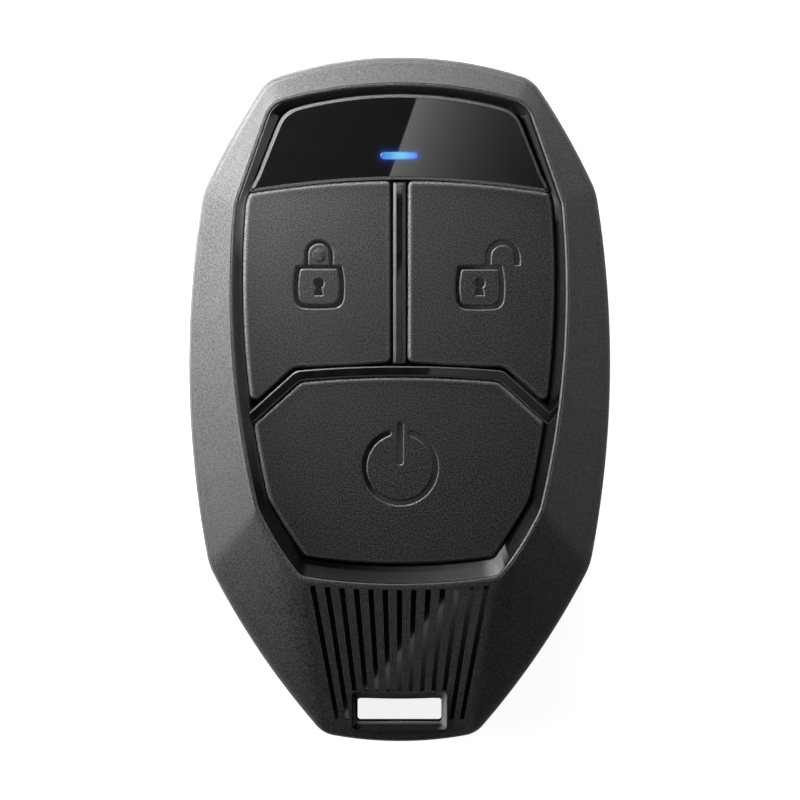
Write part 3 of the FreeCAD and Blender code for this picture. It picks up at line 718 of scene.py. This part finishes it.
# Painted light: the lands between the grooves are paler, and paler still towards the right.
grille_taper, grille_top_y = 0.1377, -18.0
land_top_y, land_foot_y, land_low_z = -18.7, -33.8, 8.0
land_painted_light, land_light_rise = 0.75, 0.035
for value, vertex in zip(front_shell.data.attributes["worn"].data, front_shell.data.vertices):
    x, y, z = vertex.co / MM
    inside = min(max(grille_half + grille_taper * (y - grille_top_y) - abs(x), 0.0), 1.0)
    inside = inside * min(max(land_top_y - y, 0.0), 0.5) * 2.0
    value.value = max(value.value, inside * (land_painted_light + land_light_rise * x) * (y > land_foot_y) * (z > land_low_z))
settle(front_shell, "fob", "shell_plastic", "front_shell")

# Gloss frame round the keys: its wall leans from just inside the rim down to the field of the keys.
wall_drop, wall_slope, wall_least, wall_gap, wall_overlap = 0.29, 1.35, 0.2, 0.07, 0.02
frame_drop, frame_edge_drop, frame_edge, foot_step = 0.38, 0.3, 0.02, 0.05
wall_top, wall_foot = outline(rim, wall_gap), outline(field, -wall_overlap)
top_heights = rim_level(wall_top[:, 1]) - wall_drop
run = np.linalg.norm(wall_top - wall_foot, axis=1)
foot_heights = np.clip(top_heights - wall_slope * run, plate_z + wall_least, field_top_z)
rim_plan, field_plan = outline(rim), outline(field)
rim_heights = rim_level(rim_plan[:, 1])
rows = [(rim_plan, plate_z), (rim_plan, rim_heights - frame_drop),
        (outline(rim, frame_edge), rim_heights - frame_edge_drop), (wall_top, top_heights),
        (wall_foot, foot_heights), (field_plan, foot_heights - foot_step), (field_plan, plate_z)]
gloss_wall = hoop("gloss_wall", rows, 25.0)
gloss_wall.data.materials.append(wall_gloss)

# Painted light and shade on the wall: where its end, its flanks and its foot start, and the painted tone of each.
end_y, flank_foot_y, foot_y, foot_half = 28.8, -9.0, -14.5, 10.75
end_tone, corner_tone, far_tone = 0.055, 0.01, 0.008
near_from, near_tones = (-9.0, -3.0), (0.03, 0.13)
near_window, far_window, wall_reach = (14.0, 18.0), (19.0, 20.5), 0.8
near_rise, near_depth, far_depth = 0.2, 0.5, 0.35
foot_glint_x, foot_glint = 9.0, 0.42
foot_from_x, foot_span, foot_tone, foot_power = -7.0, 14.0, 0.11, 1.8


def wall_shade(x, y, z):
    """Painted light and shade on the wall; near is the left side, and beside the window the foot gets more
    painted light.
    """
    near = x < 0
    if y > end_y:
        return end_tone
    if y > flank_foot_y:
        beside_window = float(np.interp(y, near_window if near else far_window, (0.0, 1.0)))
        deep = float(np.clip((rim_level(y) - wall_drop - z) / wall_reach, 0.0, 1.0))
        if near:
            return float(np.interp(y, near_from, near_tones)) + beside_window * (near_rise + near_depth * deep)
        return far_tone + beside_window * far_depth * deep
    if abs(x) > foot_half or y > foot_y:
        return corner_tone if near else 0.0
    if x > foot_glint_x:
        return foot_glint
    return foot_tone * max((x - foot_from_x) / foot_span, 0.0) ** foot_power


shade(gloss_wall, wall_shade)
settle(gloss_wall, "fob", "gloss_trim", "trim_frame")

# V divider: half width of the band, y at its middle, right knee, run of the arm past the knee.
vee_half, vee_centre_y, vee_knee, vee_slope = 0.53, 2.84, (10.37, 2.37), (0.742, 0.670)
vee_shift, vee_knee_radius, vee_reach = (0.423, 0.966), 1.3, 16.2
vee_chamfer, upright_chamfer = (0.14, 0.06), (0.3, 0.17)
upright_left, upright_right, upright_foot, upright_top = -0.64, 0.62, 3.62, 22.1
bar_corner = 0.1


def knee(side, shift):
    return side * (vee_knee[0] + vee_shift[0] * shift), vee_knee[1] + vee_shift[1] * shift


def vee_end(side, shift):
    x, y = knee(side, shift)
    return side * vee_reach, y - (vee_reach - abs(x)) * vee_slope[1] / vee_slope[0]


def vee_plan(inset):
    """Band along the V line, narrowed by an inset."""
    low, high = -vee_half + inset, vee_half - inset
    bow = vee_centre_y - vee_knee[1]
    keys = []
    for side, shift in ((-1, low), (1, high)):
        keys += [(*vee_end(side, shift), bar_corner, 0), (*knee(side, shift), vee_knee_radius, side * bow),
                 (*knee(-side, shift), vee_knee_radius, 0), (*vee_end(-side, shift), bar_corner, 0)]
    return outline(keys, 0.0, 6, 16)


def upright_plan(inset):
    left, right = upright_left + inset, upright_right - inset
    foot, top = upright_foot + inset, upright_top - inset
    corners = [(left, foot), (right, foot), (right, top), (left, top)]
    return outline([(x, y, bar_corner, 0) for x, y in corners], 0.0, 4, 8)


def chamfer_rows(across, down):
    """Insets and drops of a chamfer with softened ends, from the side to the flat top."""
    return [(0.0, down + 0.02), (0.008, down), (across, 0.004), (across + 0.02, 0.0), (across + 0.05, 0.0)]


def shiny_edges(piece, low, high, finish):
    """Second material, which paints a highlight line, on the sloped faces between two heights."""
    piece.data.materials.append(finish)
    for face in piece.data.polygons:
        if low * MM < face.center.z < high * MM and 0.2 < face.normal.z < 0.97:
            face.material_index = 1


def chamfered_bar(name, plan_at, across, down):
    """Divider with chamfered top edges; plan_at gives its plan for an inset."""
    rows = [(plan_at(0.0), plate_z)]
    rows += [(plan_at(inset), divider_z - drop) for inset, drop in chamfer_rows(across, down)]
    bar = lifted_stack(name, rows, 20.0)
    bar.data.materials.append(finishes["gloss_trim"])
    shiny_edges(bar, divider_z - down - 0.01, divider_z - 0.001, edge_shine)
    settle(bar, "fob", "gloss_trim", "trim_frame")


chamfered_bar("vee_divider", vee_plan, *vee_chamfer)
chamfered_bar("upright_divider", upright_plan, *upright_chamfer)


# Keys; an icon is its outer line, the islands left standing in it, and its separate recesses.
def arc_points(cx, cy, radius, start, end, steps=24):
    turns = np.radians(np.linspace(start, end, steps + 1))
    return [(cx + radius * math.cos(t), cy + radius * math.sin(t)) for t in turns]


def eased(points, step=0.08):
    """Plan line with small rounded corners, resampled evenly."""
    plan = evenly(np.array(points), step, 0.5)
    for _ in range(2):
        plan = (np.roll(plan, 1, 0) + 2 * plan + np.roll(plan, -1, 0)) / 4
    return plan


def keyhole(x, y=11.8):
    """Round hole with a short foot."""
    return arc_points(x, y, 0.55, -58, 238, 28) + [(x - 0.5, y - 1.26), (x + 0.5, y - 1.26)]


def pad_body(x, top, foot, half, bow, corner, top_corner):
    """Body of a padlock: bulging sides and round lower corners."""
    keys = [(x - half, foot, corner, 0.1), (x + half, foot, corner, bow),
            (x + half - 0.02, top, top_corner, 0), (x - half + 0.02, top, top_corner, bow)]
    return outline(keys, 0.0, 8, 14)


def below_top(lower, x, top):
    """Line of a padlock's body below its top, from its upper left corner on."""
    first = int(np.argmax((lower[:, 1] > top - 0.01) & (lower[:, 0] < x - 2.0)))
    return [tuple(p) for p in np.roll(lower, -first, 0) if p[1] < top - 0.02]


lock_x = -8.22


def lock_icon():
    """Closed padlock."""
    x, top, arch_y, big, small = lock_x, 13.64, 14.76, 1.484, 1.044
    outer = [(x + big, top)] + arc_points(x, arch_y, big, 0, 180) + [(x - big, top)]
    outer += below_top(pad_body(x, top, 9.27, 2.37, 0.27, 1.1, 0.06), x, top)
    inner = [(x - small, top), (x + small, top)] + arc_points(x, arch_y, small, 0, 180)
    return outer, [inner, pad_body(x, 13.23, 9.74, 1.87, 0.2, 0.8, 0.25)], [keyhole(x)]


def unlock_icon():
    """Open padlock, whose shackle stands to the right of the body."""
    x, top, big, small = 8.19, 13.62, 1.76, 1.2
    cx, cy = x + 2.35, 14.46
    outer = [(x + 2.26, top), (cx - small, top)] + arc_points(cx, cy, small, 180, 0) + [(cx + small, top)]
    outer += [(cx + big, top)] + arc_points(cx, cy, big, 0, 180) + [(cx - big, top), (x - 2.26, top)]
    outer += below_top(pad_body(x, top, 9.18, 2.28, 0.26, 1.1, 0.06), x, top)
    return outer, [pad_body(x, 13.16, 9.66, 1.85, 0.2, 0.75, 0.2)], [keyhole(x)]


def power_icon():
    """Open ring with round ends, and an upright bar in its gap; angles in degrees."""
    cx, cy, big, small, gap = 0.05, -6.96, 3.93, 3.37, 18.75
    bar_x, bar_top, bar_foot, bar_half = 0.077, -2.666, -6.422, 0.312
    mid, half = (big + small) / 2, (big - small) / 2
    right, left = [(cx + mid * math.cos(turn), cy + mid * math.sin(turn))
                   for turn in (math.radians(90 - gap), math.radians(90 + gap))]
    ring = arc_points(cx, cy, big, 90 + gap, 450 - gap, 90)
    ring += arc_points(*right, half, 90 - gap, 270 - gap, 10)[1:-1]
    ring += arc_points(cx, cy, small, 450 - gap, 90 + gap, 80)
    ring += arc_points(*left, half, 270 + gap, 90 + gap + 360, 10)[1:-1]
    bar = arc_points(bar_x, bar_top, bar_half, 0, 180, 10) + arc_points(bar_x, bar_foot, bar_half, 180, 360, 10)
    return ring, [], [bar]


def contains(line, x, y):
    """True where a plan point lies inside a plan line."""
    inside = False
    for (x1, y1), (x2, y2) in zip(line, list(line[1:]) + [line[0]]):
        if (y1 > y) != (y2 > y) and x < x1 + (y - y1) * (x2 - x1) / (y2 - y1):
            inside = not inside
    return inside


def rounded(radius):
    """Insets and drops of a quarter round, from the side to the top."""
    angles = [math.radians(15 * i) for i in range(7)]
    return [(radius * (1 - math.cos(angle)), radius * (1 - math.sin(angle))) for angle in angles]


# Strokes: rows of shift into the stroke and drop below the key's top.
stroke_depth, stroke_taper, stroke_lip, stroke_spread = 0.12, 0.1, 0.03, 0.05
stroke_rows = [(-stroke_spread - stroke_lip - 0.03, 0.0), (-stroke_spread - stroke_lip, 0.0),
               (-stroke_spread, 0.4 * stroke_lip), (-stroke_spread + stroke_taper, stroke_depth),
               (-stroke_spread + stroke_taper + 0.02, stroke_depth)]
key_cut_z, key_step, key_grow, key_edge, key_margin = 9.9, 0.22, 0.09, 0.34, 0.2
# Reach from the outline of the keys' full painted edge highlight and scuffing, and the share of it on the icons.
edge_wear_and_highlight_reach, icon_wear_and_highlight = 0.5, 0.12


def sink(bm, line, direction):
    """Rings from a key's top down to a stroke floor; gives the first and the last."""
    plan = eased(line)
    rings = stack(bm, [(inward(plan, direction * shift), button_z - down) for shift, down in stroke_rows])
    return rings[0], rings[-1]


def key_cap(name, node, rides_on, icon):
    """Key with a rounded top edge, sunk icon strokes and glossy stroke floors."""
    plan = inward(loop_at(node, key_cut_z, key_step), -key_grow)
    bm = bmesh.new()
    rows = [(plan, plate_z)] + [(inward(plan, inset), button_z - drop) for inset, drop in rounded(key_edge)]
    rows.append((inward(plan, key_edge + key_margin), button_z))
    rings = stack(bm, rows)
    fill_between(bm, rings[:1])
    outer, islands, recesses = icon()
    outer_top, outer_floor = sink(bm, outer, 1.0)
    island_rings = [sink(bm, line, -1.0) for line in islands]
    recess_rings = [sink(bm, line, 1.0) for line in recesses]
    homes = [next((i for i, line in enumerate(islands) if contains(line, *spot[0])), None) for spot in recesses]
    fill_between(bm, [rings[-1], outer_top] + [r[0] for r, home in zip(recess_rings, homes) if home is None])
    for i, (top, floor) in enumerate(island_rings):
        fill_between(bm, [top] + [r[0] for r, home in zip(recess_rings, homes) if home == i])
    floors = fill_between(bm, [outer_floor] + [floor for top, floor in island_rings])
    for top, floor in recess_rings:
        floors += fill_between(bm, [floor])
    for face in floors:
        face.material_index = 1
    piece = make_piece(name, bm, 28.0)
    piece.data.materials.append(finishes["button_plastic"])
    piece.data.materials.append(finishes["icon_gloss"])
    edge_wear_and_highlight(piece, 14.0, 0.03)
    # Keep the full painted edge highlight and scuffing near the key's outline, and only a share of it on the
    # icon's edges.
    spots = np.array([(v.co.x / MM, v.co.y / MM) for v in piece.data.vertices])
    away = np.sqrt(((spots[:, None] - plan[None]) ** 2).sum(2).min(1))
    for value, distance in zip(piece.data.attributes["worn"].data, away):
        value.value *= 1.0 if distance < edge_wear_and_highlight_reach else icon_wear_and_highlight
    settle(piece, rides_on, "button_plastic", node)


key_cap("lock_cap", "lock_button", "lock_key", lock_icon)
key_cap("unlock_cap", "unlock_button", "unlock_key", unlock_icon)
key_cap("start_cap", "start_button", "start_key", power_icon)


bump_at, bump_radius, bump_height, bump_sunk = (lock_x, 14.66), 0.66, 0.1, 0.02
crown_share, crown_height = 0.4, 0.012


def bump():
    """Low round bump in the closed padlock's shackle, with a slight crown."""
    circle = np.array(arc_points(*bump_at, 1.0, 0, 360, 48)[:-1]) - bump_at
    top = button_z + bump_height
    rows = [(circle * bump_radius + bump_at, button_z - bump_sunk)]
    rows += [(circle * (bump_radius - inset) + bump_at, top - drop) for inset, drop in rounded(bump_height)]
    rows.append((circle * bump_radius * crown_share + bump_at, top + crown_height))
    return lifted_stack("lock_bump", rows, 60.0)


settle(bump(), "lock_key", "button_plastic")

# Window and light bar. The window narrows past one y and its corners ease past another.
lens_cut_z, lens_step, lens_foot_z, lens_chamfer = 10.3, 0.25, 9.9, (0.3, 0.13)
lens_narrow_y, lens_narrow, lens_ease_y, lens_ease_points = 21.8, 0.14, 25.0, 5
bar_hole, bar_sizes = (1.98, 24.41, 25.19, 0.38), (1.97, 24.42, 25.18, 0.37)
bar_levels = [(0.0, 9.0), (0.0, 10.86), (0.03, 10.92), (0.1, 10.94), (0.15, 10.94)]


def lens():
    """Window with a softly rounded edge and a hole for the light bar."""
    plan = loop_at("indicator_window", lens_cut_z, lens_step)
    plan += (inward(plan, lens_narrow) - plan) * np.clip(plan[:, 1:] - lens_narrow_y, 0.0, 1.0)
    near = range(-lens_ease_points, lens_ease_points + 1)
    eased_plan = sum(np.roll(plan, shift, 0) for shift in near) / len(near)
    plan += (eased_plan - plan) * np.clip(plan[:, 1:] - lens_ease_y, 0.0, 1.0)
    rows = [(plan, lens_foot_z)]
    rows += [(inward(plan, inset), lens_z - drop) for inset, drop in chamfer_rows(*lens_chamfer)]
    hole = slot_plan(*bar_hole, side_steps=6)
    bm = bmesh.new()
    rings = stack(bm, rows)
    hole_rings = stack(bm, [(hole, lens_foot_z), (hole, lens_z)])
    for end in (0, -1):
        fill_between(bm, [rings[end], hole_rings[end]])
    window = make_piece("window_lens", bm, 15.0)
    window.data.materials.append(finishes["window_gloss"])
    shiny_edges(window, lens_z - 0.14, lens_z - 0.001, lens_edge_highlight)
    return window


settle(lens(), "fob", "window_gloss", "indicator_window")
bar_plan = slot_plan(*bar_sizes, side_steps=6)
bar_rows = [(inward(bar_plan, inset), z) for inset, z in bar_levels]
settle(lifted_stack("light_bar", bar_rows), "fob", "light_blue", "light_pipe")

# Lining of the strap slot: the sloped mouth, the straight way through, and the outside of the lining.
rows = [(plan, ramp_level(plan[:, 1]) + height) for plan, height in mouth]
rows += [(mouth[-1][0], 0.6), (slot_plan(4.6, -33.4, -30.3, 0.3, 0.1), 0.6),
         (slot_plan(4.84, -33.74, -29.86, 0.4, 0.27), 8.2)]
slot_lining = hoop("slot_lining", rows, 15.0)
slot_lining.data.materials.append(wall_gloss)
slot_end_x, slot_upper_y, slot_lower_y = 4.28, -31.0, -33.1


def slot_shade(x, y, z):
    """Painted light and shade on the lining: painted light on the right end, painted shade on the left end, dim
    painted light on the upper side, and painted light on the middle.
    """
    if abs(x) > slot_end_x:
        return 1.0 if x > 0 else 0.0
    if y > slot_upper_y:
        return 0.3
    return 1.0 if y > slot_lower_y else 0.1


shade(slot_lining, slot_shade)
settle(slot_lining, "fob", "gloss_trim", "grille_insert")

# Pieces that keep the CAD form, with joined faces and smooth curves.
settle(tidy_copy("rear_cover", "rear_shell"), "fob", "shell_plastic", "rear_shell")
settle(tidy_copy("sliding_door", "battery_door"), "door", "shell_plastic", "battery_door")


# Floor, light and camera; from here on, lengths are in metres.
def plain(name, make):
    """Material of a staged sheet, from a function that gives its shader."""
    material, graph = with_graph(bpy.data.materials.new(name))
    graph.add("ShaderNodeOutputMaterial", None, {"Surface": make(graph)})
    return material


def flat_sheet(name, corners, material):
    """Flat staged sheet through its corner points."""
    mesh = bpy.data.meshes.new(name)
    mesh.from_pydata(corners, [], [tuple(range(len(corners)))])
    mesh.materials.append(material)
    new_object(name, mesh)


floor_grey, floor_glow = 0.85, 0.88


def floor_shader(graph):
    """Pale floor that keeps the fob's shadow and looks white to the camera."""
    seen = graph.add("ShaderNodeLightPath", output="Is Camera Ray")
    matte = graph.add("ShaderNodeBsdfDiffuse", None, {"Color": (*grey(floor_grey), 1)})
    white = graph.add("ShaderNodeEmission", None, {"Color": (*grey(1), 1), "Strength": floor_glow * seen})
    return graph.add("ShaderNodeAddShader", None, {0: matte, 1: white})


floor_half, floor_z = 6, -0.0001
corners = [(x * floor_half, y * floor_half, floor_z) for x, y in ((-1, -1), (1, -1), (1, 1), (-1, 1))]
flat_sheet("floor", corners, plain("floor_white", floor_shader))

# Lamps: place, length and width, power in watts.
light_aim = Vector((0.0, 0.0, 0.01))
lamps = {
    "left_strip": ((-0.25, 0.03, 0.07), (0.25, 0.1), 0.645),
    "right_strip": ((0.25, 0.0, 0.07), (0.2, 0.1), 0.0785),
    "far_strip": ((0.0, 0.25, 0.07), (0.2, 0.1), 0.511),
    "front_strip": ((0.06, -0.24, 0.07), (0.2, 0.1), 0.05),
    "far_right_strip": ((0.18, 0.18, 0.07), (0.2, 0.1), 0.114),
    "corner_lamp": ((-0.05, 0.05, 0.02), (0.02, 0.02), 0.025),
    "side_lamp": ((-0.045, 0.02, 0.03), (0.02, 0.02), 0.01),
    "near_lamp": ((-0.028, 0.045, 0.025), (0.015, 0.015), 0.034),
    "high_lamp": ((-0.025, 0.035, 0.05), (0.02, 0.02), 0.031),
}


def soft_box(name, spot, size, power):
    """Rectangular lamp that faces the fob and isn't seen itself."""
    light = bpy.data.lights.new(name, "AREA")
    light.shape = "RECTANGLE"
    light.size, light.size_y = size
    light.energy = power
    lamp = new_object(name, light)
    lamp.location = spot
    lamp.rotation_mode = "QUATERNION"
    lamp.rotation_quaternion = (light_aim - Vector(spot)).to_track_quat("-Z", "Y")
    lamp.visible_camera = False


for name, values in lamps.items():
    soft_box(name, *values)

# Cards that the gloss surfaces mirror: height of their plane, and its scale against the fob.
camera_spot = Vector((0.00005, -0.0001, 1.156))
card_z, card_scale = 1.3, 2.13


def card_spot(x, y, level, slope):
    """Point of the card plane that is seen in the surface at a point of the object in mm."""
    at = Vector((x, y, level(y))) * MM
    ray = (at - camera_spot).reflect(Vector((0.0, -slope, 1.0)).normalized())
    return at + ray * ((card_z - at.z) / ray.z)


def seen_card(name, spots, strength, fall, level=lambda y: 10.9, slope=0.0):
    """Card above the camera whose reflection falls on these points of the object, in mm.

    It is brightest along its first side and fades away from it."""
    corners = [card_spot(x, y, level, slope) for x, y in spots]
    side = (corners[1] - corners[0]).normalized()
    away = Vector((-side.y, side.x)) / (fall * card_scale * MM)
    offset = away.x * corners[0].x + away.y * corners[0].y

    def glow(graph):
        x, y, _ = graph.axes(graph.add("ShaderNodeTexCoord", output="Object"))
        faded = graph.math("EXPONENT", 0.0 - (x * away.x + y * away.y - offset)) * strength
        return graph.add("ShaderNodeEmission", None, {"Color": (*grey(1), 1), "Strength": faded})

    flat_sheet(name, corners, plain(name + "_glow", glow))


seen_card("window_card", [(2.95, 34), (-1.63, 21), (30, 21.0), (30, 34)], 2.9, 5.2)
seen_card("divider_card", [(0.46, 14.2), (-0.9, 10.6), (-0.9, 3.6), (0.9, 3.6), (0.9, 14.9)], 0.8, 8.0)
seen_card("lock_card", [(-12, 17), (-12, 7), (-4, 7), (-4, 17)], 0.36, 40.0)
seen_card("vee_card", [(3.5, 3.9), (2.6, 1.6), (2.6, -6), (30, -6), (30, 3.9)], 0.8, 10.0)
seen_card("unlock_card", [(8.14, 11.46), (6.67, 7.85), (5.8, 5.5), (14, 5.5), (14, 18), (8.14, 18)], 0.9, 6.0)
seen_card("start_card", [(0.7, -2.0), (-2.6, -10.5), (-2.6, -17), (30, -17), (30, -2.0)], 1.35, 4.0)
seen_card("grille_card", [(5.57, -19.4), (-7.3, -33.9), (12, -33.9), (12, -19.4)], 1.6, 1.8,
          lambda y: ramp_level(y) - 0.4, ramp_slope)

world, world_graph = with_graph(bpy.data.worlds.new("studio"))
backdrop = world_graph.add("ShaderNodeBackground", None, {"Color": (*grey(0.004), 1), "Strength": 1.0})
world_graph.add("ShaderNodeOutputWorld", None, {"Surface": backdrop})
bpy.context.scene.world = world

camera_data = bpy.data.cameras.new("camera")
camera_data.lens = 505.7
camera_data.sensor_width = 36.0
camera = new_object("camera", camera_data)
camera.location = camera_spot
bpy.context.scene.camera = camera
bpy.context.scene.view_settings.view_transform = "Standard"
